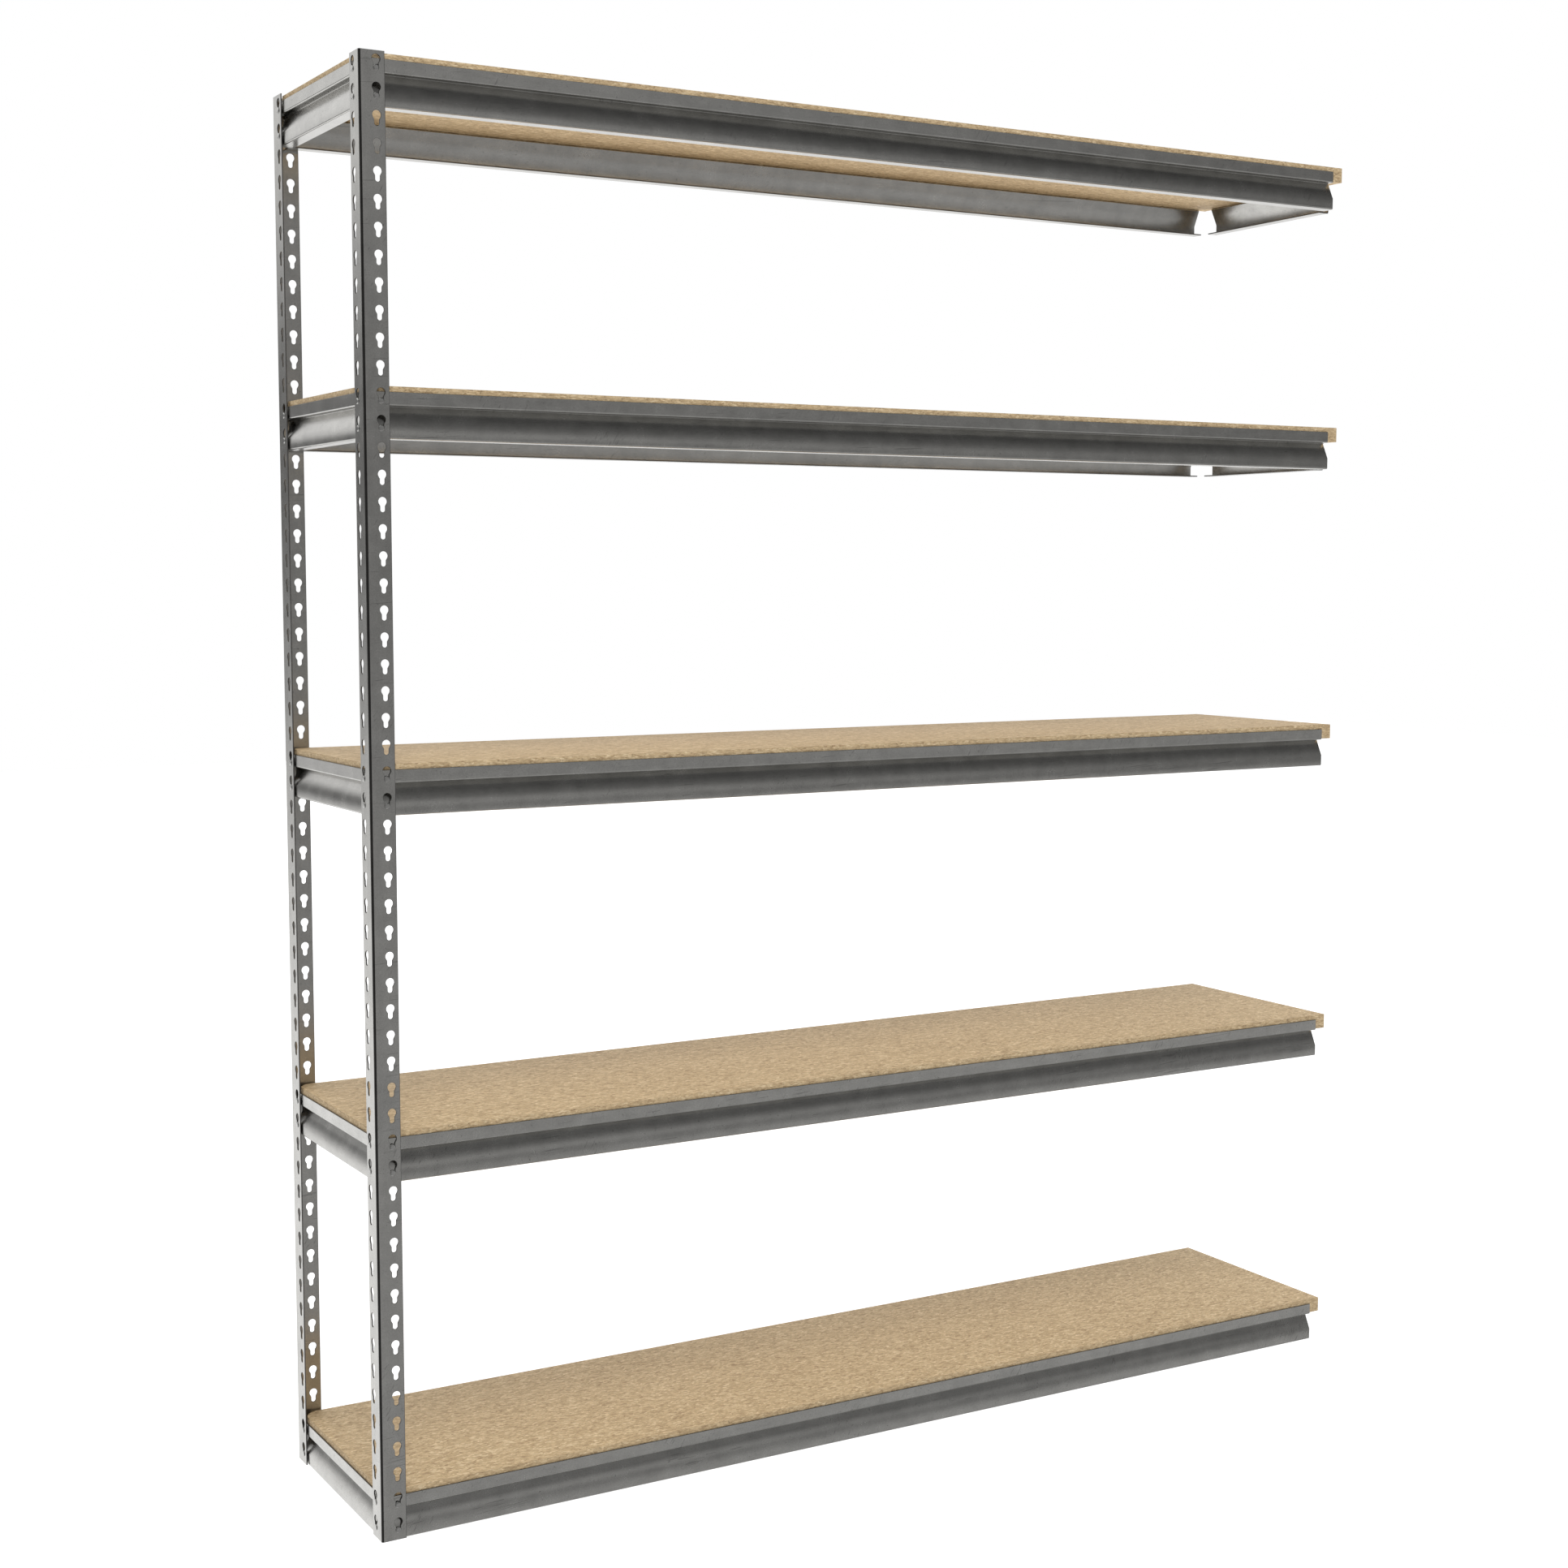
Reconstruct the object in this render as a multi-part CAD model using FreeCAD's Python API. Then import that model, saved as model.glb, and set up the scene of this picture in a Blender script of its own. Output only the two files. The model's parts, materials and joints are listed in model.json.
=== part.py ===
"""Boltless steel shelving, an add-on bay: two slotted angle posts at its left end, five shelf
levels, each with four pressed-steel beams, their rivets and a particleboard deck.

Millimetres, +Z up, X along the shelves, +Y to the back.  Everything is laid out from the outer
front corner of the front left post at floor level, then shifted so that the origin is the
middle of the footprint on the floor."""
import FreeCAD, Part
import math
import os

V = FreeCAD.Vector

# ---- driving dimensions ----
DEPTH = 381.0                  # outside of the front post to outside of the rear post, 15 in
POST_HEIGHT = 2133.6           # 84 in
POST_FLANGE = 38.1             # width of each flange of the angle, 1 1/2 in
POST_SHEET = 1.9               # 14 gauge steel
POST_BEND = 2.9                # outer radius of the angle's bend

PITCH = 38.1                   # keyhole to keyhole, 1 1/2 in
KEYHOLES = 56                  # in each flange, one every pitch
KEYHOLE_EDGE = 25.4            # keyhole line to the outer corner of the post
FIRST_DATUM = 14.4             # datum of the first keyhole below the post's top
HEAD_RADIUS = 6.35             # round upper part of the keyhole, 1/2 in across
HEAD_UP = 3.05                 # its centre above the keyhole's datum
SLOT_RADIUS = 3.6              # half the width of the narrow lower part
SLOT_DOWN = 8.4                # centre of the slot's round end below the datum
NECK_ANGLE = math.radians(38)  # where the taper leaves the round part, below its middle
NECK_FOOT = 3.4                # where the taper meets the slot, below the datum

LEVEL_KEYHOLES = (54, 40, 26, 12, 0)   # keyhole of the upper rivet at each level, bottom level first

BEAM_SHEET = 2.0
STRIP_TOP = 4.2                # upper edge of the strip that stands beside the deck
LEDGE_UNDER = -15.0            # underside of the ledge that carries the deck
LEDGE_DEPTH = 13.5             # how far the ledge reaches in behind the outer face
WEB_KNEE = -43.0               # where the sloping web comes back out to the outer face
BEAM_BOTTOM = -61.8
BEAM_FLANGE = 22.0             # depth of the flange along the bottom
BEAM_BEND = 1.6                # middle radius of the tight bends
KNEE_BEND = 9.0                # middle radius of the bend at the knee

FRONT_GAP = 2.0                # beams' outer face behind the outside of the front and rear posts
SIDE_GAP = 3.0                 # side beams' outer face inside the post's outer side
LONG_BEAM_END = 1806.4         # right end of the front and rear beams
BAY_END = 1832.0               # outer face of the right side beams
BEAM_END = 18.5                # left ends start this far from the corner of the post
RIGHT_SIDE_END = 40.0          # ends of the right side beams from the bay's front and back
CORNER_CLEARANCE = 0.5         # between the mitred corners of two beams

RIVET_RADIUS = 3.2
RIVET_HOLE_CLEARANCE = 0.05
RIVET_HEAD_RADIUS = 4.5
RIVET_HEAD = 1.3               # how far the head stands out of the post
RIVET_HEAD_LIFT = 0.1          # gap under the head
RIVET_HEAD_ROUNDING = 0.7      # rounding of the head's rim, as a share of its height

DECK_THICKNESS = 25.4
DECK_FRONT = 4.7               # front edge of the deck behind the outside of the front post
DECK_REAR = 374.5
DECK_LEFT = 5.7
DECK_RIGHT = 1829.3
DECK_CORNER = 26.0             # the two corners beside the posts are rounded

# ---- derived places ----
RIVET_DROP = SLOT_DOWN + SLOT_RADIUS - RIVET_RADIUS - RIVET_HOLE_CLEARANCE
RIVET_DROPS = (RIVET_DROP, RIVET_DROP + PITCH)   # a pair at each beam end, below the datum
CENTRE = V((BAY_END - RIVET_HEAD) / 2, DEPTH / 2, 0)
CUT = 10.0                     # length of the tools that pierce one thickness of sheet


def keyhole_datum(index):
    """Height of a keyhole's datum; keyhole 0 is the highest."""
    return POST_HEIGHT - FIRST_DATUM - index * PITCH


def bent_sheet(path, bends, sheet):
    """Section of bent sheet: path is the middle line, one bend radius for each inner point."""
    left, right = [], []
    start, end = V(*path[0], 0), V(*path[-1], 0)
    ahead = (V(*path[1], 0) - start).normalize()
    normal = V(-ahead.y, ahead.x, 0)
    tips = [start + normal * sheet / 2, start - normal * sheet / 2]
    first = list(tips)
    for before, corner, after, radius in zip(path, path[1:], path[2:], bends):
        corner = V(*corner, 0)
        into = (corner - V(*before, 0)).normalize()
        out = (V(*after, 0) - corner).normalize()
        turn = math.atan2(into.x * out.y - into.y * out.x, into.dot(out))
        side = math.copysign(1, turn)
        trim = radius * math.tan(abs(turn) / 2)
        enter = corner - into * trim
        centre = enter + V(-into.y, into.x, 0) * side * radius
        middle = centre + (corner - centre).normalize() * radius
        leave = corner + out * trim
        for edges, tip, offset in ((left, 0, -side), (right, 1, side)):
            scale = (radius + offset * sheet / 2) / radius
            a, b, c = (centre + (point - centre) * scale for point in (enter, middle, leave))
            edges.append(Part.LineSegment(tips[tip], a).toShape())
            edges.append(Part.Arc(a, b, c).toShape())
            tips[tip] = c
    ahead = (end - V(*path[-2], 0)).normalize()
    normal = V(-ahead.y, ahead.x, 0)
    last = [end + normal * sheet / 2, end - normal * sheet / 2]
    left.append(Part.LineSegment(tips[0], last[0]).toShape())
    right.append(Part.LineSegment(tips[1], last[1]).toShape())
    caps = [Part.LineSegment(*first).toShape(), Part.LineSegment(*last).toShape()]
    return Part.Face(Part.Wire(Part.__sortEdges__(left + right + caps)))


def keyhole_cutter(across, through, at):
    """Prism of one keyhole: across runs along the flange, through runs into it."""
    up = V(0, 0, 1)
    head = Part.makeCylinder(HEAD_RADIUS, CUT, at + up * HEAD_UP - through * CUT / 2, through)
    end = Part.makeCylinder(SLOT_RADIUS, CUT, at - up * SLOT_DOWN - through * CUT / 2, through)
    neck_half = HEAD_RADIUS * math.cos(NECK_ANGLE)
    neck_top = HEAD_UP - HEAD_RADIUS * math.sin(NECK_ANGLE)
    outline = [(-SLOT_RADIUS, -SLOT_DOWN), (-SLOT_RADIUS, -NECK_FOOT), (-neck_half, neck_top),
               (0, HEAD_UP), (neck_half, neck_top), (SLOT_RADIUS, -NECK_FOOT),
               (SLOT_RADIUS, -SLOT_DOWN), (-SLOT_RADIUS, -SLOT_DOWN)]
    corners = [at + across * x + up * z - through * CUT / 2 for x, z in outline]
    slot = Part.Face(Part.makePolygon(corners)).extrude(through * CUT)
    return head.fuse([slot, end]).removeSplitter()


def post(rear):
    """Angle post with keyholes in both flanges; the rear one is the front one mirrored."""
    half = POST_SHEET / 2
    section = bent_sheet([(POST_FLANGE, half), (half, half), (half, POST_FLANGE)],
                         [POST_BEND - half], POST_SHEET)
    angle = section.extrude(V(0, 0, POST_HEIGHT))
    cutters = []
    for index in range(KEYHOLES):
        z = keyhole_datum(index)
        cutters.append(keyhole_cutter(V(1, 0, 0), V(0, 1, 0), V(KEYHOLE_EDGE, 0, z)))
        cutters.append(keyhole_cutter(V(0, 1, 0), V(1, 0, 0), V(0, KEYHOLE_EDGE, z)))
    angle = angle.cut(cutters)
    return mirrored_to_rear(angle) if rear else angle


def mirrored_to_rear(shape):
    """The same piece at the back of the bay."""
    return shape.mirror(V(0, DEPTH / 2, 0), V(0, 1, 0))


def beam_section():
    """Section of every beam: first axis inward from the outer face, second axis up."""
    half = BEAM_SHEET / 2
    path = [(half, STRIP_TOP), (half, LEDGE_UNDER + half), (LEDGE_DEPTH + half, LEDGE_UNDER + half),
            (half, WEB_KNEE), (half, BEAM_BOTTOM + half), (BEAM_FLANGE, BEAM_BOTTOM + half)]
    return bent_sheet(path, [BEAM_BEND, BEAM_BEND, KNEE_BEND, BEAM_BEND], BEAM_SHEET)


def beam(start, inward, along, length, mitred_ends, rivets_at):
    """One beam from its start on the outer face, at the height of its keyhole's datum.

    mitred_ends holds the distances of ends cut back to meet another beam, rivets_at the
    distances of its rivet holes.  The section's third axis is the beam's length."""
    up = V(0, 0, 1)
    solid = beam_section().extrude(V(0, 0, length))
    lead = BEAM_END - start.dot(inward) - CORNER_CLEARANCE
    low = BEAM_BOTTOM - CUT
    cutters = []
    for end in mitred_ends:
        away = 1 if end == 0 else -1
        corners = [V(lead, low, end), V(lead + BEAM_FLANGE, low, end),
                   V(lead + BEAM_FLANGE, low, end + away * BEAM_FLANGE), V(lead, low, end)]
        wedge = Part.Face(Part.makePolygon(corners)).extrude(V(0, STRIP_TOP - low + CUT, 0))
        cutters.append(wedge)
    for distance in rivets_at:
        for drop in RIVET_DROPS:
            cutters.append(Part.makeCylinder(RIVET_RADIUS + RIVET_HOLE_CLEARANCE, CUT,
                                             V(-CUT / 2, -drop, distance), V(1, 0, 0)))
    if cutters:
        solid = solid.cut(cutters)
    solid.Placement = FreeCAD.Placement(FreeCAD.Matrix(
        inward.x, up.x, along.x, start.x,
        inward.y, up.y, along.y, start.y,
        inward.z, up.z, along.z, start.z, 0, 0, 0, 1))
    return solid


def rivet(at, inward, gap):
    """Rivet with a low rounded head outside the post; gap is post face to beam face."""
    head_height = RIVET_HEAD - RIVET_HEAD_LIFT
    top = at - inward * RIVET_HEAD
    shank = Part.makeCylinder(RIVET_RADIUS, RIVET_HEAD_LIFT + gap + BEAM_SHEET,
                              at - inward * RIVET_HEAD_LIFT, inward)
    head = Part.makeCylinder(RIVET_HEAD_RADIUS, head_height, top, inward)
    rim = [edge for edge in head.Edges
           if len(edge.Vertexes) == 1 and (edge.CenterOfMass - top).Length < 0.01]
    return head.makeFillet(head_height * RIVET_HEAD_ROUNDING, rim).fuse(shank).removeSplitter()


def deck(level_z):
    """Particleboard deck: sharp corners at the right, rounded ones beside the posts."""
    r = DECK_CORNER
    x0, x1, y0, y1 = DECK_LEFT, DECK_RIGHT, DECK_FRONT, DECK_REAR
    z = level_z + LEDGE_UNDER + BEAM_SHEET
    slant = r * (1 - math.sqrt(0.5))
    edges = [Part.LineSegment(V(x0 + r, y0, z), V(x1, y0, z)),
             Part.LineSegment(V(x1, y0, z), V(x1, y1, z)),
             Part.LineSegment(V(x1, y1, z), V(x0 + r, y1, z)),
             Part.Arc(V(x0 + r, y1, z), V(x0 + slant, y1 - slant, z), V(x0, y1 - r, z)),
             Part.LineSegment(V(x0, y1 - r, z), V(x0, y0 + r, z)),
             Part.Arc(V(x0, y0 + r, z), V(x0 + slant, y0 + slant, z), V(x0 + r, y0, z))]
    outline = Part.Wire([edge.toShape() for edge in edges])
    return Part.Face(outline).extrude(V(0, 0, DECK_THICKNESS))


def level_parts(number, keyhole):
    """The four beams, the rivets and the deck of one level."""
    z = keyhole_datum(keyhole)
    right, back, left, front = V(1, 0, 0), V(0, 1, 0), V(-1, 0, 0), V(0, -1, 0)
    long_length = LONG_BEAM_END - BEAM_END
    side_length = DEPTH - 2 * BEAM_END
    hole = KEYHOLE_EDGE - BEAM_END
    front_beam = beam(V(BEAM_END, FRONT_GAP, z), back, right, long_length, [0], [hole])
    rivets = []
    for drop in RIVET_DROPS:
        rivets += [rivet(V(KEYHOLE_EDGE, 0, z - drop), back, FRONT_GAP),
                   rivet(V(KEYHOLE_EDGE, DEPTH, z - drop), front, FRONT_GAP),
                   rivet(V(0, KEYHOLE_EDGE, z - drop), right, SIDE_GAP),
                   rivet(V(0, DEPTH - KEYHOLE_EDGE, z - drop), right, SIDE_GAP)]
    return {
        f"front_beam_{number}": front_beam,
        f"rear_beam_{number}": mirrored_to_rear(front_beam),
        f"left_beam_{number}": beam(V(SIDE_GAP, DEPTH - BEAM_END, z), right, front, side_length,
                                    [0, side_length], [hole, side_length - hole]),
        f"right_beam_{number}": beam(V(BAY_END, RIGHT_SIDE_END, z), left, back,
                                     DEPTH - 2 * RIGHT_SIDE_END, [], []),
        f"rivets_{number}": Part.makeCompound(rivets),
        f"deck_{number}": deck(z),
    }


def main():
    os.makedirs("parts", exist_ok=True)
    parts = {"front_post": post(rear=False), "rear_post": post(rear=True)}
    for number, keyhole in enumerate(LEVEL_KEYHOLES, start=1):
        parts.update(level_parts(number, keyhole))
    for name, shape in parts.items():
        shape = shape.copy()
        shape.translate(-CENTRE)
        shape.exportStep(f"parts/{name}.step")
        box = shape.BoundBox
        print(f"{name:16s} solids {len(shape.Solids)} valid {shape.isValid()} "
              f"volume {shape.Volume / 1000:9.2f} cm3 "
              f"x {box.XMin:8.1f} {box.XMax:8.1f} y {box.YMin:7.1f} {box.YMax:7.1f} "
              f"z {box.ZMin:7.1f} {box.ZMax:7.1f}")


main()
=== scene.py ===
"""Boltless steel shelving, an add-on bay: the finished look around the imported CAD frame.

Sections and outlines are in millimetres; piece() turns them into metres.  The places of the
pieces are read from the frame's own nodes."""

import json
import math

import bmesh
import bpy
from mathutils import Matrix, Vector
from mathutils.geometry import tessellate_polygon


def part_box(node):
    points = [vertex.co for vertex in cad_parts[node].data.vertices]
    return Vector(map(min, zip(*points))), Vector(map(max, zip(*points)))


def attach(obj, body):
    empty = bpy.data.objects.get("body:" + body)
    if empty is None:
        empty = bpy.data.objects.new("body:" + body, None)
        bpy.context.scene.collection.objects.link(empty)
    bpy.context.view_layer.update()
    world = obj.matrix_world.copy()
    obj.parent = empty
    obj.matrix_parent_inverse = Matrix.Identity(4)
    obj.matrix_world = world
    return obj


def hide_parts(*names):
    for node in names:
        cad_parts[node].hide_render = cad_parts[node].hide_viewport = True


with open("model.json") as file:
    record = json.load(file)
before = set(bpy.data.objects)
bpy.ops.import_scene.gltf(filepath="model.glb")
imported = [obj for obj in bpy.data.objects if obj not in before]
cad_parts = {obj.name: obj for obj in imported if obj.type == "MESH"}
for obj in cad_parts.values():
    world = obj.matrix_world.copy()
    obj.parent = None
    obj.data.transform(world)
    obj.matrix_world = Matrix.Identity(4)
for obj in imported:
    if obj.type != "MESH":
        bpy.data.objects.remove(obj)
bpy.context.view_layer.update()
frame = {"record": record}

LEVELS = range(1, 6)
MM = 0.001
BODY_OF = {node: body for body, members in frame["record"]["behaviour"]["bodies"].items()
           for node in members}

# ---- kinds of face, which are also the places of their materials in a piece ----
FLAT, CUT_EDGE, BEND = range(3)        # sheet metal
BOARD_FACE, BOARD_EDGE = range(2)      # decks

# ---- sheet metal, mm ----
POST_FLANGE = 38.1
POST_SHEET = 1.9
POST_BEND = 2.9                # outer radius
POST_EDGE = 0.85               # rounding of the long edges
PITCH = 38.1
FIRST_DATUM = 14.4             # datum of the first keyhole below the post's top
KEYHOLE_EDGE = 25.4            # keyhole line to the corner of the post
HEAD_RADIUS = 6.35             # round upper part of the keyhole
HEAD_UP = 3.05                 # its centre above the keyhole's datum
SLOT_RADIUS = 3.6              # half the width of the narrow lower part
SLOT_DOWN = 8.4                # centre of the slot's round end below the datum
NECK_ANGLE = math.radians(38)  # where the taper leaves the round part, below its middle
NECK_FOOT = 3.4                # where the taper meets the slot, below the datum
ROLLOVER = 0.4                 # rounding that the punch leaves round each keyhole

BEAM_SHEET = 2.0
# Middle line of a beam as (depth behind that of the outer face, height above its bottom).  The
# point half way down the sloping web only ends the shaded curve of the knee below it.
BEAM_SECTION = [(0, 66.0), (0, 47.8), (13.5, 47.8), (6.6, 32.98), (0, 18.8), (0, 1.0), (21.0, 1.0)]
BEAM_BENDS = [1.6, 1.6, 0, 0, 1.6]   # middle radii; 0 is a blunt fold, shaded as a curve
DATUM_UP = 61.8                # datum of a level above the bottom of its beams
BEAM_EDGE = 0.4                # rounding of the cut edges
MITRE_CLEARANCE = 0.5          # between the mitred corners of two beams
FRONT_BEAM_GAP = 2.0           # face of a front or rear beam behind the post's outside
SIDE_BEAM_GAP = 3.0            # the same of a side beam

# ---- rivets, mm ----
RIVET_RADIUS = 3.2
RIVET_HEAD_RADIUS = 4.5
RIVET_HEAD = 1.3               # how far the head stands out of the post
RIVET_HEAD_LIFT = 0.1          # gap under the head
RIVET_HEAD_UNDERCUT = 0.1      # the head's underside is this much narrower than its rim
RIVET_RIM = 2.0                # width of the head's rounded rim
RIVET_RIM_FOOT = 0.12          # where the rounding starts, as a share of the head's height
RIVET_TAIL = 0.45              # flattened tail behind the beam's sheet
RIVET_TAIL_RADIUS = 3.9
RIVET_TAIL_CHAMFER = 0.3       # width of the tail's chamfer
RIVET_TAIL_FOOT = 0.6          # where that starts, as a share of the tail's length
RIVET_SIDES = 40
RIVET_DROP = 8.75              # upper rivet below the level's datum

# ---- decks, mm ----
DECK_CORNER = 26.0             # radius of the two corners beside the posts
DECK_EDGE = 0.5                # rounding of the board's edges

# ---- fineness of the meshes, angles in radians and distances in mm ----
ARC_STEP = math.radians(6)
EDGE_ANGLES = [math.radians(a) for a in (0, 30, 60, 90)]   # rows of points round a small edge
EDGE_STRIPS = len(EDGE_ANGLES) - 1                         # faces between them
POST_SHARP = math.radians(13)  # edges sharper than this aren't smoothed
BEAM_SHARP = math.radians(27)
SUPPORT = 0.15                 # narrow strip beside each bend, which keeps the flats' shading flat
SAME_POINT = 0.002             # points closer than this are joined
NO_EDGE = 0.0005               # edges shorter than this are dropped

# ---- colours ----
WOOD_DARK = (0.33, 0.218, 0.112)
WOOD_MID = (0.55, 0.405, 0.230)
WOOD_LIGHT = (0.72, 0.575, 0.37)

# ---- directions ----
LEFT, RIGHT = Vector((-1, 0, 0)), Vector((1, 0, 0))
FRONT, BACK = Vector((0, -1, 0)), Vector((0, 1, 0))
UP = Vector((0, 0, 1))


# ============================== geometry ==============================

def piece(name, vertices, faces, materials, sharp, face_materials=None):
    """Mesh object from a list of points in mm; points that coincide are joined."""
    mesh = bpy.data.meshes.new(name)
    mesh.from_pydata(vertices, [], faces)
    for material in materials:
        mesh.materials.append(material)
    if face_materials:
        mesh.polygons.foreach_set("material_index", face_materials)
    work = bmesh.new()
    work.from_mesh(mesh)
    bmesh.ops.remove_doubles(work, verts=work.verts, dist=SAME_POINT)
    bmesh.ops.dissolve_degenerate(work, edges=work.edges, dist=NO_EDGE)
    bmesh.ops.recalc_face_normals(work, faces=work.faces)
    bmesh.ops.scale(work, vec=(MM, MM, MM), verts=work.verts)
    work.to_mesh(mesh)
    work.free()
    mesh.shade_smooth()
    mesh.set_sharp_from_angle(angle=sharp)
    made = bpy.data.objects.new(name, mesh)
    bpy.context.scene.collection.objects.link(made)
    return made


def arc_steps(angle):
    """How many straight steps an arc of this angle is drawn with."""
    return max(2, math.ceil(abs(angle) / ARC_STEP))


def arc_points(centre, radius, start, end):
    """Points along an arc, both ends included."""
    steps = arc_steps(end - start)
    angles = [start + (end - start) * i / steps for i in range(steps + 1)]
    return [centre + Vector((math.cos(a), math.sin(a))) * radius for a in angles]


def ring_faces(rings, size):
    """Quads between closed rings of points that follow one another, size points to a ring."""
    return [(r * size + k, r * size + (k + 1) % size,
             (r + 1) * size + (k + 1) % size, (r + 1) * size + k)
            for r in range(rings - 1) for k in range(size)]


def left_of(direction):
    """The direction turned a quarter turn to the left."""
    return Vector((-direction.y, direction.x))


def sheet_section(path, bends, sheet, edge):
    """Bent sheet as pairs of points, one on each side of its middle line.

    path is the middle line, bends holds one middle radius for each of its inner points and
    edge is the rounding of the cut edges."""
    path = [Vector(point) for point in path]
    half = sheet / 2
    middle = []                # (point, unit normal, half thickness there)

    def straight(point, ahead, thickness=half):
        middle.append((point, left_of(ahead), thickness))

    def cut_edge(tip, ahead, sign):
        """The rounded cut edge: sign is 1 at the start of the sheet, -1 at its end."""
        for angle in EDGE_ANGLES[::sign]:
            back = edge * (1 - math.cos(angle))
            straight(tip + ahead * sign * back, ahead, half - edge * (1 - math.sin(angle)))

    def bend(corner, into, turn, radius):
        """The round part of a bend that turns by an angle, to the left when it is positive."""
        inward = left_of(into) * math.copysign(radius, turn)
        centre = corner - into * radius * math.tan(abs(turn) / 2) + inward
        steps = arc_steps(turn)
        for i in range(steps + 1):
            normal = left_of(Matrix.Rotation(turn * i / steps, 2) @ into)
            middle.append((centre - normal * math.copysign(radius, turn), normal, half))

    ahead = (path[1] - path[0]).normalized()
    cut_edge(path[0], ahead, 1)
    straight(path[0] + ahead * (edge + SUPPORT), ahead)
    for before, corner, after, radius in zip(path, path[1:], path[2:], bends):
        into = (corner - before).normalized()
        out = (after - corner).normalized()
        turn = math.atan2(into.x * out.y - into.y * out.x, into.dot(out))
        if radius == 0:
            straight(corner, (into + out).normalized(), half / math.cos(turn / 2))
            continue
        trim = radius * math.tan(abs(turn) / 2)
        straight(corner - into * (trim + SUPPORT), into)
        bend(corner, into, turn, radius)
        straight(corner + out * (trim + SUPPORT), out)
    ahead = (path[-1] - path[-2]).normalized()
    straight(path[-1] - ahead * (edge + SUPPORT), ahead)
    cut_edge(path[-1], ahead, -1)
    return [(point + normal * thick, point - normal * thick) for point, normal, thick in middle]


def keyhole_outline(grow):
    """Keyhole as (across, up) points about its line and datum, grown by a distance."""
    head = HEAD_RADIUS + grow
    slot = SLOT_RADIUS + grow
    points = arc_points(Vector((0, HEAD_UP)), head, -NECK_ANGLE, math.pi + NECK_ANGLE)
    points += [Vector((-slot, -NECK_FOOT - grow / 2)), Vector((-slot, -SLOT_DOWN + SUPPORT))]
    points += arc_points(Vector((0, -SLOT_DOWN)), slot, math.pi, 2 * math.pi)
    points += [Vector((slot, -SLOT_DOWN + SUPPORT)), Vector((slot, -NECK_FOOT - grow / 2))]
    return points


def keyhole_wall():
    """Rows of a keyhole's wall as (growth of the outline, depth), from the outer face inward."""
    outer = [(ROLLOVER * (1 - math.cos(a)), ROLLOVER * (1 - math.sin(a))) for a in EDGE_ANGLES[::-1]]
    return outer + [(grow, POST_SHEET - depth) for grow, depth in reversed(outer)]


def pierced_panel(box, datum, wall, outlines):
    """A flat panel with one keyhole, as (points, faces, kind) for each of its three parts.

    box holds the panel's corners.  Points are (across, up, depth)."""
    loops = [[(KEYHOLE_EDGE + p.x, datum + p.y) for p in outline] for outline in outlines]
    parts = []
    for row in (0, -1):
        depth = wall[row][1]
        rims = [[Vector((t, z, 0)) for t, z in rim] for rim in (box, loops[row])]
        points = [(t, z, depth) for t, z in box + loops[row]]
        parts.append((points, tessellate_polygon(rims), FLAT))
    points = [(t, z, depth) for loop, (grow, depth) in zip(loops, wall) for t, z in loop]
    parts.append((points, ring_faces(len(loops), len(loops[0])), CUT_EDGE))
    return parts


def post_mesh(height):
    """Vertices, faces and kinds of face of the angle post, its outer corner on the Z axis."""
    half = POST_SHEET / 2
    pairs = sheet_section([(POST_FLANGE, half), (half, half), (half, POST_FLANGE)],
                          [POST_BEND - half], POST_SHEET, POST_EDGE)
    count = int((height - FIRST_DATUM) // PITCH) + 1
    data = [height - FIRST_DATUM - PITCH * i for i in range(count)]
    stations = [height] + [z - PITCH / 2 for z in data[:-1]] + [0.0]
    wall = keyhole_wall()
    outlines = [keyhole_outline(grow) for grow, depth in wall]
    strips = range(len(pairs) - 1)
    longest = sorted(strips, key=lambda i: -(pairs[i + 1][0] - pairs[i][0]).length)
    pierced = sorted(longest[:2])          # the two flanges
    vertices, faces, kinds = [], [], []

    def add(points, polygons, kind):
        start = len(vertices)
        vertices.extend(points)
        faces.extend([start + i for i in polygon] for polygon in polygons)
        kinds.extend([kind] * len(polygons))

    def upright(a, b, lower, upper, kind):
        """A plain strip between two points of the section."""
        points = [(p.x, p.y, z) for p, z in ((a, lower), (b, lower), (b, upper), (a, upper))]
        add(points, [(0, 1, 2, 3)], kind)

    def kind_of(strip):
        if min(strip, strips[-1] - strip) < EDGE_STRIPS:
            return CUT_EDGE
        return BEND if pierced[0] < strip < pierced[1] else FLAT

    for strip, (a, b) in enumerate(zip(pairs, pairs[1:])):
        along_x = abs(a[0].x - b[0].x) > abs(a[0].y - b[0].y)
        t0, t1 = (a[0].x, b[0].x) if along_x else (a[0].y, b[0].y)
        for upper, lower, datum in zip(stations, stations[1:], data):
            if strip not in pierced:
                for side in (0, 1):
                    upright(a[side], b[side], lower, upper, kind_of(strip))
                continue
            box = [(t0, lower), (t1, lower), (t1, upper), (t0, upper)]
            for points, polygons, kind in pierced_panel(box, datum, wall, outlines):
                add([(t, depth, z) if along_x else (depth, t, z) for t, z, depth in points],
                    polygons, kind)
    for upper, lower in zip(stations, stations[1:]):
        for left, right in (pairs[0], pairs[-1]):
            upright(left, right, lower, upper, CUT_EDGE)
    for z in (0.0, height):
        for a, b in zip(pairs, pairs[1:]):
            add([(p.x, p.y, z) for p in (a[0], b[0], b[1], a[1])], [(0, 1, 2, 3)], CUT_EDGE)
    return vertices, faces, kinds


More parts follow.
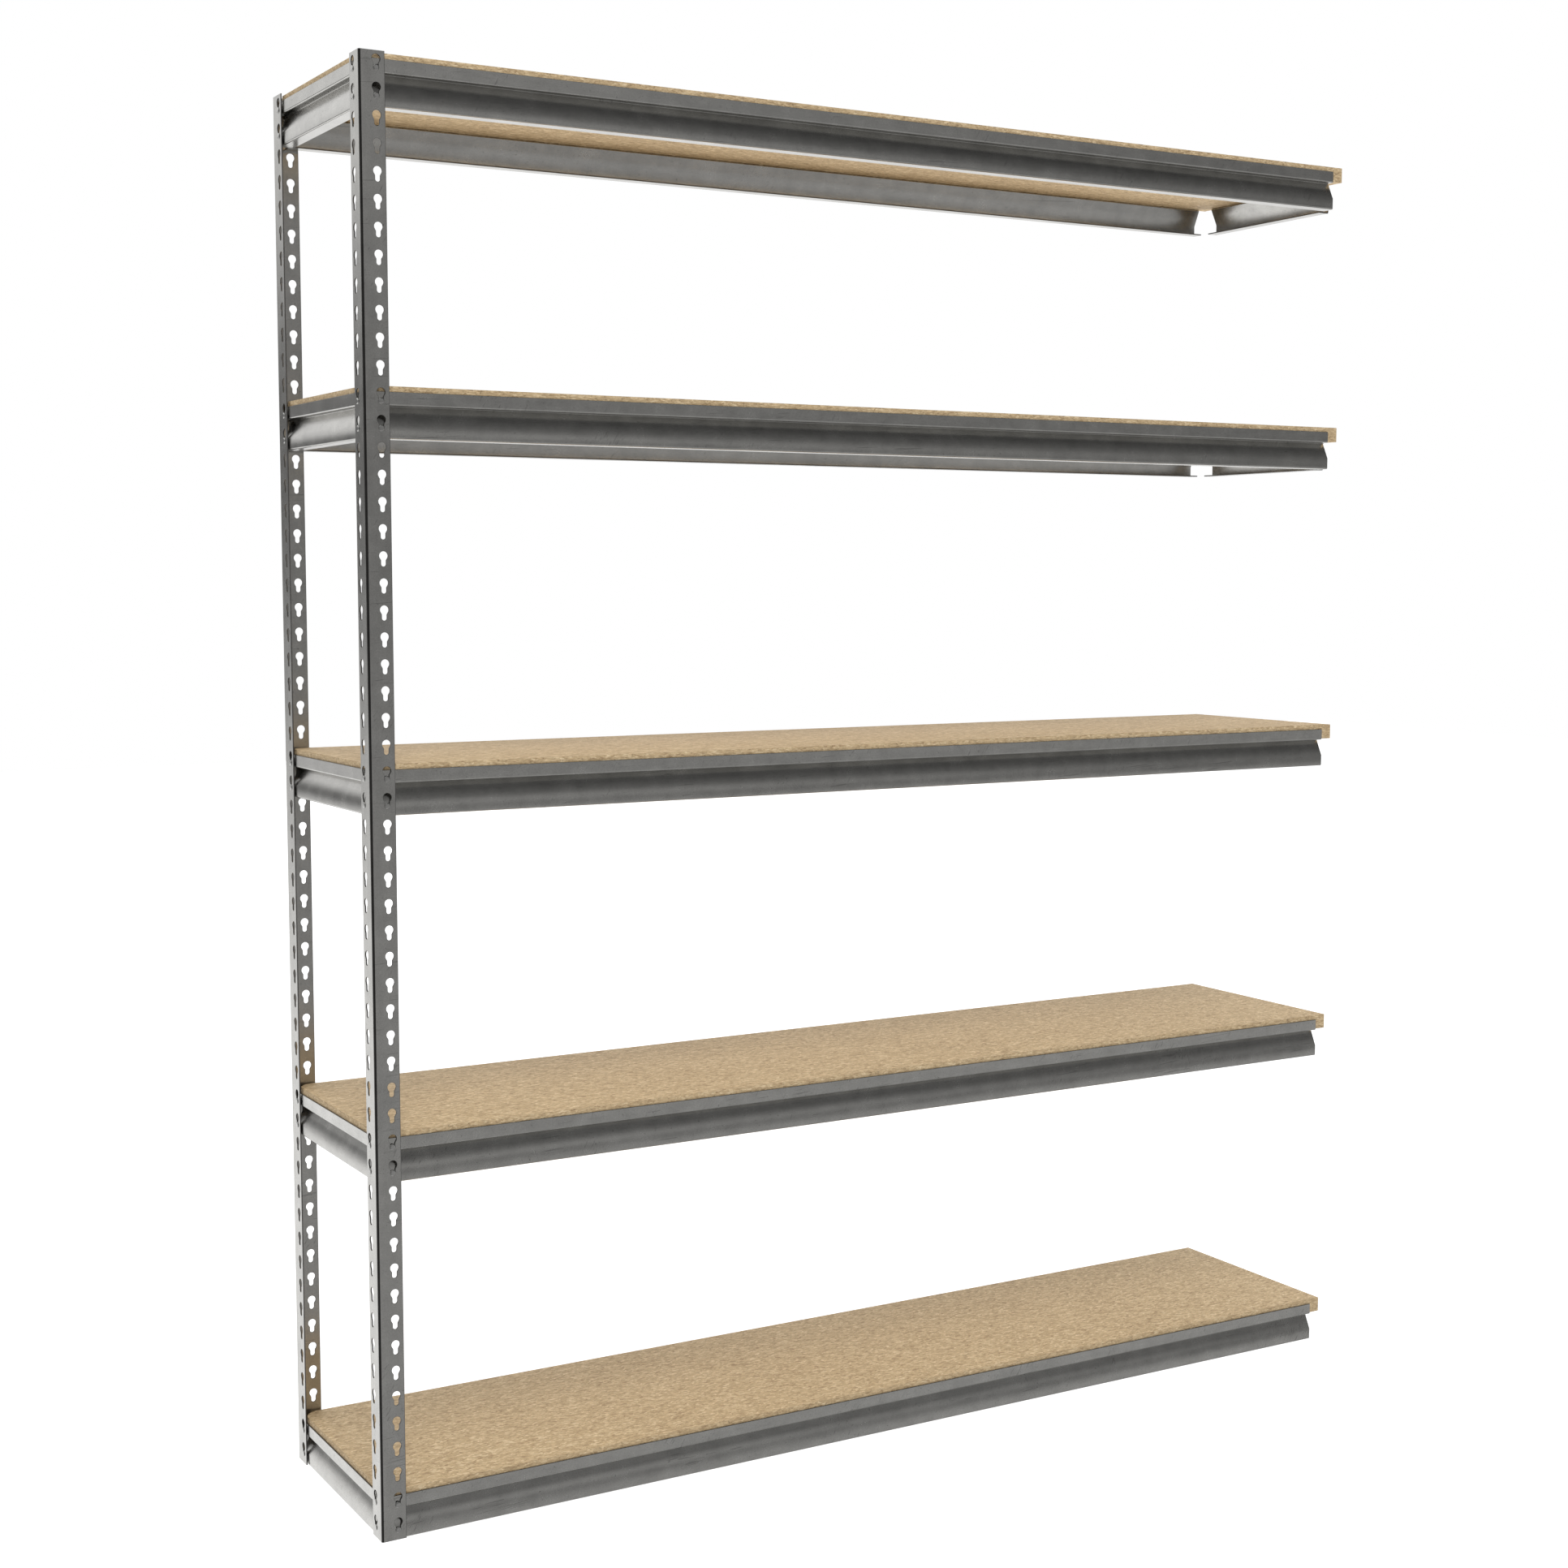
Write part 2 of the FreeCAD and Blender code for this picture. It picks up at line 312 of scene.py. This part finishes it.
def split_bottom_flange(pairs, depth):
    """Put one more pair of points into a beam's bottom flange, at a depth from its outer face."""
    for i, (a, b) in enumerate(zip(pairs, pairs[1:])):
        lies_flat = math.isclose(a[0].y, b[0].y, abs_tol=0.01)
        if lies_flat and a[0].x < depth < b[0].x and a[0].y < DATUM_UP / 2:
            share = (depth - a[0].x) / (b[0].x - a[0].x)
            pairs.insert(i + 1, (a[0].lerp(b[0], share), a[1].lerp(b[1], share)))
            return


def beam_mesh(length, mitre, mitred_ends):
    """Vertices, faces and kinds of face of a beam.

    x is inward from the outer face, y along and z up from its bottom.  The depth beyond mitre
    is cut back at 45 degrees at the mitred ends."""
    half = BEAM_SHEET / 2
    pairs = sheet_section([(half + d, z) for d, z in BEAM_SECTION], BEAM_BENDS, BEAM_SHEET, BEAM_EDGE)
    if mitred_ends:
        split_bottom_flange(pairs, mitre)
    vertices, faces, kinds = [], [], []
    for pair in pairs:
        for point in pair:
            cut = max(0.0, point.x - mitre)
            near = cut if "near" in mitred_ends else 0.0
            far = length - (cut if "far" in mitred_ends else 0.0)
            vertices += [(point.x, near, point.y), (point.x, far, point.y)]
    row = 4                    # vertices to a pair: two points, each at both ends
    last = row * (len(pairs) - 1)
    for i in range(0, last, row):
        faces += [(i, i + 4, i + 5, i + 1), (i + 2, i + 3, i + 7, i + 6),
                  (i, i + 2, i + 6, i + 4), (i + 1, i + 5, i + 7, i + 3)]
        in_cut_edge = min(i, last - row - i) < row * EDGE_STRIPS
        kind = CUT_EDGE if in_cut_edge else FLAT
        kinds += [kind, kind, CUT_EDGE, CUT_EDGE]
    faces += [(0, 1, 3, 2), (last, last + 2, last + 3, last + 1)]
    return vertices, faces, kinds + [CUT_EDGE, CUT_EDGE]


def rivet_profile(gap):
    """Half section of a rivet as (radius, distance out of the post's face)."""
    crown = RIVET_HEAD - RIVET_HEAD_LIFT
    profile = [(0.0, RIVET_HEAD)]
    for degrees in range(90, -1, -9):
        a = math.radians(degrees)
        share = RIVET_RIM_FOOT + (1 - RIVET_RIM_FOOT) * math.sin(a)
        profile.append((RIVET_HEAD_RADIUS - RIVET_RIM + RIVET_RIM * math.cos(a),
                        RIVET_HEAD_LIFT + crown * share))
    profile += [(RIVET_HEAD_RADIUS - RIVET_HEAD_UNDERCUT, RIVET_HEAD_LIFT),
                (RIVET_RADIUS, RIVET_HEAD_LIFT)]
    inside = -gap - BEAM_SHEET
    profile += [(RIVET_RADIUS, inside), (RIVET_TAIL_RADIUS, inside),
                (RIVET_TAIL_RADIUS, inside - RIVET_TAIL_FOOT * RIVET_TAIL),
                (RIVET_TAIL_RADIUS - RIVET_TAIL_CHAMFER, inside - RIVET_TAIL),
                (0.0, inside - RIVET_TAIL)]
    return profile


def lathe(profile, at, outward):
    """Vertices and faces of a profile turned about a level axis through at."""
    across = outward.cross(UP)
    vertices = []
    for radius, height in profile:
        for k in range(RIVET_SIDES):
            a = 2 * math.pi * k / RIVET_SIDES
            vertices.append(at + outward * height
                            + (across * math.cos(a) + UP * math.sin(a)) * radius)
    return vertices, ring_faces(len(profile), RIVET_SIDES)


def deck_mesh(low, high):
    """Vertices, faces and kinds of face of a deck; its left corners are rounded."""
    def outline(inset):
        r = DECK_CORNER - inset
        x0, x1 = low.x + inset, high.x - inset
        y0, y1 = low.y + inset, high.y - inset
        quarter = math.pi / 2
        return (arc_points(Vector((x0 + r, y0 + r)), r, 2 * quarter, 3 * quarter)
                + [Vector((x1, y0)), Vector((x1, y1))]
                + arc_points(Vector((x0 + r, y1 - r)), r, quarter, 2 * quarter))

    rows = [(DECK_EDGE * (1 - math.sin(a)), DECK_EDGE * (1 - math.cos(a))) for a in EDGE_ANGLES]
    rows = ([(inset, low.z + up) for inset, up in rows]
            + [(inset, high.z - up) for inset, up in reversed(rows)])
    loops = [[(p.x, p.y, z) for p in outline(inset)] for inset, z in rows]
    size = len(loops[0])
    vertices = [point for loop in loops for point in loop]
    faces = ring_faces(len(loops), size)
    kinds = [BOARD_EDGE] * len(faces)
    faces += [list(range(size)), list(range(len(vertices) - size, len(vertices)))]
    return vertices, faces, kinds + [BOARD_FACE, BOARD_FACE]


# ============================== materials ==============================

class Nodes:
    """Shorthand for building a node tree."""

    def __init__(self, tree):
        self.tree = tree
        tree.nodes.clear()

    def add(self, kind, inputs, **settings):
        """A new node; each of its inputs is a constant or the socket that feeds it."""
        node = self.tree.nodes.new(kind)
        for name, value in settings.items():
            setattr(node, name, value)
        for name, value in inputs.items():
            if isinstance(value, bpy.types.NodeSocket):
                self.tree.links.new(value, node.inputs[name])
            else:
                node.inputs[name].default_value = value
        return node

    def ramp(self, value, stops):
        """Colour ramp with stops (position, colour or grey)."""
        node = self.add("ShaderNodeValToRGB", inputs={"Fac": value})
        elements = node.color_ramp.elements
        while len(elements) < len(stops):
            elements.new(0.5)
        for element, (position, colour) in zip(elements, stops):
            element.position = position
            grey = isinstance(colour, (int, float))
            element.color = (colour, colour, colour, 1) if grey else (*colour, 1)
        return node.outputs["Color"]

    def math(self, operation, first, second=0.0, third=0.0, clamp=False):
        node = self.add("ShaderNodeMath", operation=operation, use_clamp=clamp,
                        inputs={0: first, 1: second, 2: third})
        return node.outputs[0]

    def mix(self, factor, first, second, blend="MIX"):
        node = self.add("ShaderNodeMix", data_type="RGBA", blend_type=blend,
                        inputs={"Factor": factor, "A": first, "B": second})
        return node.outputs["Result"]

    def times(self, first, second):
        return self.mix(1.0, first, second, "MULTIPLY")

    def noise(self, vector, scale, detail=4.0, roughness=0.55, output="Fac"):
        node = self.add("ShaderNodeTexNoise", inputs={
            "Vector": vector, "Scale": scale, "Detail": detail, "Roughness": roughness})
        return node.outputs[output]

    def mapping(self, vector, **inputs):
        """The vector moved, turned and scaled by Location, Rotation and Scale."""
        return self.add("ShaderNodeMapping", inputs={"Vector": vector, **inputs}).outputs[0]

    def bump(self, height, strength, distance):
        node = self.add("ShaderNodeBump", inputs={
            "Height": height, "Strength": strength, "Distance": distance})
        return node.outputs[0]


def new_material(name):
    """An empty material, and the Nodes to fill it with."""
    material = bpy.data.materials.new(name)
    material.use_nodes = True
    return material, Nodes(material.node_tree)


def shade(nodes, inputs):
    """Finish a material with a Principled shader."""
    shader = nodes.add("ShaderNodeBsdfPrincipled", inputs)
    nodes.add("ShaderNodeOutputMaterial", inputs={"Surface": shader.outputs[0]})


def object_points(nodes, stretch=(1, 1, 1)):
    """Object coordinates, stretched so that a pattern runs along an axis."""
    coordinates = nodes.add("ShaderNodeTexCoord", inputs={}).outputs["Object"]
    return nodes.mapping(coordinates, Scale=stretch)


def scratches(nodes, points, turn, scale, seed):
    """0 on fine straight scratches that lie one way, in patches, and 1 elsewhere."""
    lying = nodes.mapping(points, Rotation=turn, Location=(seed, seed * 0.7, seed * 0.3))
    drawn = nodes.mapping(lying, Scale=(0.012, 1, 1))
    lines = nodes.noise(drawn, scale, detail=1.0)
    patch = nodes.noise(lying, 9.0, detail=2.0)
    return nodes.math("GREATER_THAN", lines, nodes.math("MULTIPLY", patch, 0.5))


def steel(name, colour, roughness, mottle, streak=(1, 1, 1), metallic=1.0):
    """Satin bare steel: faint mottling, fine grain, a few scratches and small dark specks.

    mottle is the share by which the colour varies, and streak draws part of it out."""
    material, nodes = new_material(name)
    points = object_points(nodes)
    cloud = nodes.noise(points, 32.0)
    grain = nodes.noise(points, 1100.0, detail=3.0, roughness=0.7)
    smear = nodes.noise(object_points(nodes, streak), 70.0, roughness=0.6)
    speck = nodes.noise(points, 330.0, detail=2.0)
    across = scratches(nodes, points, (0.5, 1.0, 0.3), 420.0, 1.3)
    along = scratches(nodes, points, (0.1, 0.06, 0.04), 380.0, 4.1)
    scored = nodes.math("MULTIPLY", across, along)

    dark = tuple(c * (1 - mottle) for c in colour)
    light = tuple(min(1.0, c * (1 + mottle)) for c in colour)
    base = nodes.ramp(cloud, [(0.32, dark), (0.68, light)])
    base = nodes.times(base, nodes.ramp(smear, [(0.34, 1 - mottle), (0.62, 1.0)]))
    base = nodes.times(base, nodes.ramp(speck, [(0.25, 0.55), (0.32, 1.0)]))
    base = nodes.times(base, nodes.ramp(grain, [(0.3, 0.80), (0.7, 1.12)]))
    base = nodes.times(base, nodes.ramp(scored, [(0.0, 0.78), (1.0, 1.0)]))

    vary = 0.08                # how far cloud and grain each move the roughness, about its middle
    rough = nodes.math("MULTIPLY_ADD", cloud, vary, roughness - vary / 2)
    rough = nodes.math("MULTIPLY_ADD", grain, vary, nodes.math("SUBTRACT", rough, vary / 2))
    height = nodes.math("MULTIPLY_ADD", scored, 0.5, nodes.math("MULTIPLY", grain, 0.3))
    shade(nodes, {"Base Color": base, "Roughness": rough, "Metallic": metallic,
                  "Normal": nodes.bump(height, strength=0.1, distance=0.0002)})
    return material


def flakes(nodes, points, turns, stretch):
    """0 to 1, one value to a flake: three sizes of flake mixed, the largest counting most."""
    layers = []
    for scale, turn in zip((300.0, 450.0, 820.0), turns):
        lying = nodes.mapping(points, Rotation=(0, 0, turn), Scale=stretch)
        cells = nodes.add("ShaderNodeTexVoronoi", feature="F1", inputs={
            "Vector": lying, "Scale": scale, "Randomness": 1.0})
        layers.append(nodes.add("ShaderNodeSeparateColor",
                                inputs={"Color": cells.outputs["Color"]}).outputs[0])
    mixed = nodes.math("MULTIPLY_ADD", layers[0], 0.42, nodes.math("MULTIPLY", layers[1], 0.36))
    return nodes.math("MULTIPLY_ADD", layers[2], 0.22, mixed)


def particleboard(name, tone, roughness, warp, turns, stretch, pits, bump):
    """Pressed wood flakes with dark pits.

    tone darkens the wood, warp bends the flakes' outlines, turns and stretch lay the three sizes
    of flake, pits is (noise scale, ((position, grey), (position, grey))) and bump its strength."""
    material, nodes = new_material(name)
    points = object_points(nodes)
    drift = nodes.noise(points, 90.0, detail=2.0, output="Color")
    warped = nodes.add("ShaderNodeMix", data_type="VECTOR", inputs={
        "Factor": warp, "A": points, "B": drift}).outputs["Result"]
    broad = nodes.noise(points, 7.0, detail=3.0)
    mixed = nodes.math("ADD", flakes(nodes, warped, turns, stretch),
                       nodes.math("MULTIPLY_ADD", broad, 0.12, -0.06))
    pit_scale, pit_stops = pits
    pitted = nodes.ramp(nodes.noise(points, pit_scale, detail=3.0, roughness=0.6), pit_stops)
    fleck = nodes.noise(object_points(nodes, (0.22, 1.0, 1.0)), 430.0, detail=1.0)

    stops = ((0.12, WOOD_DARK, 1.0), (0.36, WOOD_MID, 0.86),
             (0.58, WOOD_MID, 1.0), (0.86, WOOD_LIGHT, 1.0))
    base = nodes.ramp(mixed, [(position, tuple(c * tone * share for c in colour))
                              for position, colour, share in stops])
    base = nodes.times(base, pitted)
    base = nodes.times(base, nodes.ramp(fleck, [(0.35, 0.94), (0.55, 1.0), (0.68, 1.12)]))
    height = nodes.math("ADD", mixed, nodes.math("MULTIPLY", pitted, 0.7))
    shade(nodes, {"Base Color": base, "Roughness": roughness,
                  "Normal": nodes.bump(height, strength=bump, distance=0.0006)})
    return material


# ============================== the object ==============================

post_steel = steel("post_steel", (0.485, 0.478, 0.458), 0.25, 0.08, (1, 1, 0.2))
beam_steel = steel("beam_steel", (0.51, 0.502, 0.48), 0.25, 0.08, (0.2, 0.2, 1))
# The cut edges, the keyhole walls and the cut ends get a dark colour: painted shade along the edges
# and inside the keyholes. Their rougher, less metallic finish is the cut edge's own.
cut_edge_painted_shade = steel("cut_edge_painted_shade", (0.15, 0.145, 0.14), 0.4, 0.15, metallic=0.8)
# The post's rounded corner gets a near-black colour: a painted dark reflection, standing in for the
# dark surroundings that the bend mirrors.
bend_painted_dark_reflection = steel("bend_painted_dark_reflection", (0.07, 0.068, 0.065), 0.3, 0.1)
rivet_steel = steel("rivet_steel", (0.48, 0.475, 0.46), 0.24, 0.04)
board_face = particleboard("particleboard_face", tone=0.98, roughness=0.68, warp=0.008,
                           turns=(0.2, -0.3, 0.9), stretch=(0.4, 1.0, 1.0),
                           pits=(420.0, ((0.24, 0.7), (0.33, 1.0))), bump=0.12)
board_edge = particleboard("particleboard_edge", tone=0.7, roughness=0.82, warp=0.006,
                           turns=(0, 0, 0), stretch=(0.45, 0.6, 1.6),
                           pits=(300.0, ((0.30, 0.6), (0.42, 1.0))), bump=0.2)


def corners(node):
    """Lowest and highest corner of a CAD node, in mm."""
    low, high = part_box(node)
    return low / MM, high / MM


def settle(made, node):
    """Put a piece on the body of its CAD node, in that node's place."""
    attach(made, BODY_OF[node])
    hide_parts(node)


def placed(vertices, start, inward, along):
    """Points of a beam set on its outer face at start."""
    return [start + inward * x + along * y + UP * z for x, y, z in vertices]


def make_posts():
    """The front post, and the rear one as its mirror image."""
    for node, side in (("front_post", 1), ("rear_post", -1)):
        low, high = corners(node)
        vertices, faces, kinds = post_mesh(high.z - low.z)
        corner_y = low.y if side > 0 else high.y
        vertices = [(low.x + x, corner_y + side * y, low.z + z) for x, y, z in vertices]
        # The cut edges get painted shade and the corner bend a painted dark reflection.
        metals = [post_steel, cut_edge_painted_shade, bend_painted_dark_reflection]
        made = piece(f"{node}_steel", vertices, faces, metals, POST_SHARP, kinds)
        settle(made, node)


def make_beams(level):
    """The four beams of a level; those that meet at a post are mitred to clear one another."""
    front, rear, left, right = (corners(f"{side}_beam_{level}")
                                for side in ("front", "rear", "left", "right"))
    bottom = front[0].z
    mitre = front[0].x - corners("front_post")[0].x - MITRE_CLEARANCE   # behind the post's outside
    long_beam = beam_mesh(front[1].x - front[0].x, mitre - FRONT_BEAM_GAP, ("near",))
    left_beam = beam_mesh(left[1].y - left[0].y, mitre - SIDE_BEAM_GAP, ("near", "far"))
    right_beam = beam_mesh(right[1].y - right[0].y, math.inf, ())
    for side, (vertices, faces, kinds), x, y, inward, along in (
            ("front", long_beam, front[0].x, front[0].y, BACK, RIGHT),
            ("rear", long_beam, rear[0].x, rear[1].y, FRONT, RIGHT),
            ("left", left_beam, left[0].x, left[0].y, RIGHT, BACK),
            ("right", right_beam, right[1].x, right[0].y, LEFT, BACK)):
        node = f"{side}_beam_{level}"
        points = placed(vertices, Vector((x, y, bottom)), inward, along)
        # The beams' cut edges and cut ends get the dark painted shade.
        made = piece(f"{node}_steel", points, faces, [beam_steel, cut_edge_painted_shade], BEAM_SHARP, kinds)
        settle(made, node)


def make_rivets(level):
    """The eight rivets of a level: a pair at each beam end that hangs in a post."""
    x0, y0 = corners("front_post")[0].xy
    y1 = corners("rear_post")[1].y
    datum = corners(f"front_beam_{level}")[0].z + DATUM_UP
    vertices, faces = [], []
    for z in (datum - RIVET_DROP, datum - RIVET_DROP - PITCH):
        for x, y, outward, gap in ((x0 + KEYHOLE_EDGE, y0, FRONT, FRONT_BEAM_GAP),
                                   (x0 + KEYHOLE_EDGE, y1, BACK, FRONT_BEAM_GAP),
                                   (x0, y0 + KEYHOLE_EDGE, LEFT, SIDE_BEAM_GAP),
                                   (x0, y1 - KEYHOLE_EDGE, LEFT, SIDE_BEAM_GAP)):
            points, polygons = lathe(rivet_profile(gap), Vector((x, y, z)), outward)
            start = len(vertices)
            vertices += points
            faces += [[start + i for i in polygon] for polygon in polygons]
    node = f"rivets_{level}"
    made = piece(f"{node}_steel", vertices, faces, [rivet_steel], BEAM_SHARP)
    settle(made, node)


def make_deck(level):
    node = f"deck_{level}"
    vertices, faces, kinds = deck_mesh(*corners(node))
    made = piece(f"{node}_board", vertices, faces, [board_face, board_edge], BEAM_SHARP, kinds)
    settle(made, node)


make_posts()
for level in LEVELS:
    make_beams(level)
    make_rivets(level)
    make_deck(level)


# ============================== studio ==============================

FLOOR_REACH = 14.0             # m from the middle to each side
FLOOR_TONE = 0.62
FLOOR_GLOW = 0.75              # keeps the floor nearly white under the soft light
SOFT_LIGHT = 0.86              # the studio's grey for soft light
WORLD_STRENGTH = 1.1

# Greys of the studio as steel mirrors it, against the sine of the height above the horizon.
BACK_WALL = ((-1, 1.16), (-0.2, 1.15), (-0.15, 1.03), (-0.1, 0.78), (-0.04, 0.44), (0.01, 0.17),
             (0.09, 0.13), (0.118, 0.42), (0.16, 0.85), (0.22, 0.98), (1, 0.98))
NEAR_RIGHT_WALL = ((-1, 1.0), (-0.93, 0.9), (-0.85, 0.35), (-0.6, 0.33), (-0.42, 0.44),
                   (-0.12, 0.36), (0.0, 0.27), (0.04, 0.21), (0.1, 0.24), (0.16, 0.42),
                   (0.22, 0.5), (0.29, 0.38), (0.39, 0.18), (0.67, 0.08), (0.92, 0.06), (1, 0.2))
FAR_RIGHT_WALL = ((-1, 1.0), (-0.93, 0.9), (-0.85, 0.35), (-0.6, 0.33), (-0.42, 0.46),
                  (-0.25, 0.49), (-0.1, 0.42), (0.0, 0.27), (0.05, 0.18), (0.25, 0.2),
                  (0.43, 0.12), (0.7, 0.05), (0.92, 0.05), (1, 0.2))
LEFT_WALL = ((-1, 1.0), (-0.93, 0.9), (-0.85, 0.3), (-0.3, 0.26), (0.0, 0.2), (0.4, 0.24),
             (0.62, 0.5), (1, 0.5))
FULL_RIGHT = (0.1, 0.1, 0.1, 1)        # straight to the right

KEY_PLACE = (-1.9, -3.6, 6.4)
KEY_TARGET = (0, 0, 1.0)
KEY_SIZE = 2.4
KEY_POWER = 150.0

CAMERA_PLACE = (-2.03408, -3.29136, 1.40325)
CAMERA_DOWN = 0.08889          # radians below level
CAMERA_TURN = -0.52537         # radians from straight back, to the right
CAMERA_LENS = 52.70
CAMERA_SENSOR = 36.0


def make_floor():
    """A pale floor, which the steel doesn't mirror: it mirrors only the studio's walls."""
    reach = FLOOR_REACH
    mesh = bpy.data.meshes.new("floor")
    mesh.from_pydata([(-reach, -reach, 0), (reach, -reach, 0), (reach, reach, 0), (-reach, reach, 0)],
                     [], [(0, 1, 2, 3)])
    material, nodes = new_material("floor_pale")
    shade(nodes, {"Base Color": (FLOOR_TONE, FLOOR_TONE, FLOOR_TONE, 1), "Roughness": 1.0,
                  "Specular IOR Level": 0.0, "Emission Color": (1, 1, 1, 1),
                  "Emission Strength": FLOOR_GLOW})
    mesh.materials.append(material)
    floor = bpy.data.objects.new("floor", mesh)
    floor.visible_glossy = False
    bpy.context.scene.collection.objects.link(floor)


def mirrored_studio(nodes):
    """The studio as steel mirrors it: its four walls, blended into one another by direction."""
    direction = nodes.add("ShaderNodeTexCoord", inputs={}).outputs["Generated"]
    parts = nodes.add("ShaderNodeSeparateXYZ", inputs={"Vector": direction}).outputs
    height = nodes.math("MULTIPLY_ADD", parts["Z"], 0.5, 0.5)

    def wall(bands):
        return nodes.ramp(height, [(sine * 0.5 + 0.5, grey) for sine, grey in bands])

    def share(axis, slope, offset):
        """0 to 1 along an axis, straight between them."""
        return nodes.math("MULTIPLY_ADD", parts[axis], slope, offset, clamp=True)

    right = nodes.mix(share("X", 3.2, -1.2), wall(NEAR_RIGHT_WALL), wall(FAR_RIGHT_WALL))
    front = nodes.mix(share("X", 3.0, 0.2), wall(LEFT_WALL), right)
    around = nodes.mix(share("Y", 3.0, 0.2), front, wall(BACK_WALL))
    return nodes.mix(share("X", 7.0, -5.6), around, FULL_RIGHT)


def make_world():
    """White to the eye, even for soft light, and banded walls for reflections."""
    world = bpy.data.worlds.new("studio")
    world.use_nodes = True
    bpy.context.scene.world = world
    nodes = Nodes(world.node_tree)
    path = nodes.add("ShaderNodeLightPath", inputs={}).outputs
    light = nodes.mix(path["Is Diffuse Ray"], mirrored_studio(nodes),
                      (SOFT_LIGHT, SOFT_LIGHT, SOFT_LIGHT, 1))
    lit = nodes.add("ShaderNodeBackground", inputs={"Color": light, "Strength": WORLD_STRENGTH})
    seen = nodes.add("ShaderNodeBackground", inputs={"Color": (1, 1, 1, 1), "Strength": 1.0})
    both = nodes.add("ShaderNodeMixShader", inputs={
        0: path["Is Camera Ray"], 1: lit.outputs[0], 2: seen.outputs[0]})
    nodes.add("ShaderNodeOutputWorld", inputs={"Surface": both.outputs[0]})


def make_key_light():
    """A round lamp above the front left, which neither the camera nor the steel sees."""
    data = bpy.data.lights.new("key", "AREA")
    data.shape = "DISK"
    data.size = KEY_SIZE
    data.energy = KEY_POWER
    light = bpy.data.objects.new("key", data)
    light.location = KEY_PLACE
    aim = Vector(KEY_TARGET) - Vector(KEY_PLACE)
    light.rotation_euler = aim.to_track_quat("-Z", "Y").to_euler()
    light.visible_camera = False
    light.visible_glossy = False
    bpy.context.scene.collection.objects.link(light)


def make_camera():
    data = bpy.data.cameras.new("camera")
    data.sensor_width = CAMERA_SENSOR
    data.lens = CAMERA_LENS
    camera = bpy.data.objects.new("camera", data)
    camera.location = CAMERA_PLACE
    camera.rotation_euler = (math.pi / 2 - CAMERA_DOWN, 0, CAMERA_TURN)
    bpy.context.scene.collection.objects.link(camera)
    bpy.context.scene.camera = camera


make_floor()
make_world()
make_key_light()
make_camera()
bpy.context.scene.view_settings.view_transform = "Standard"
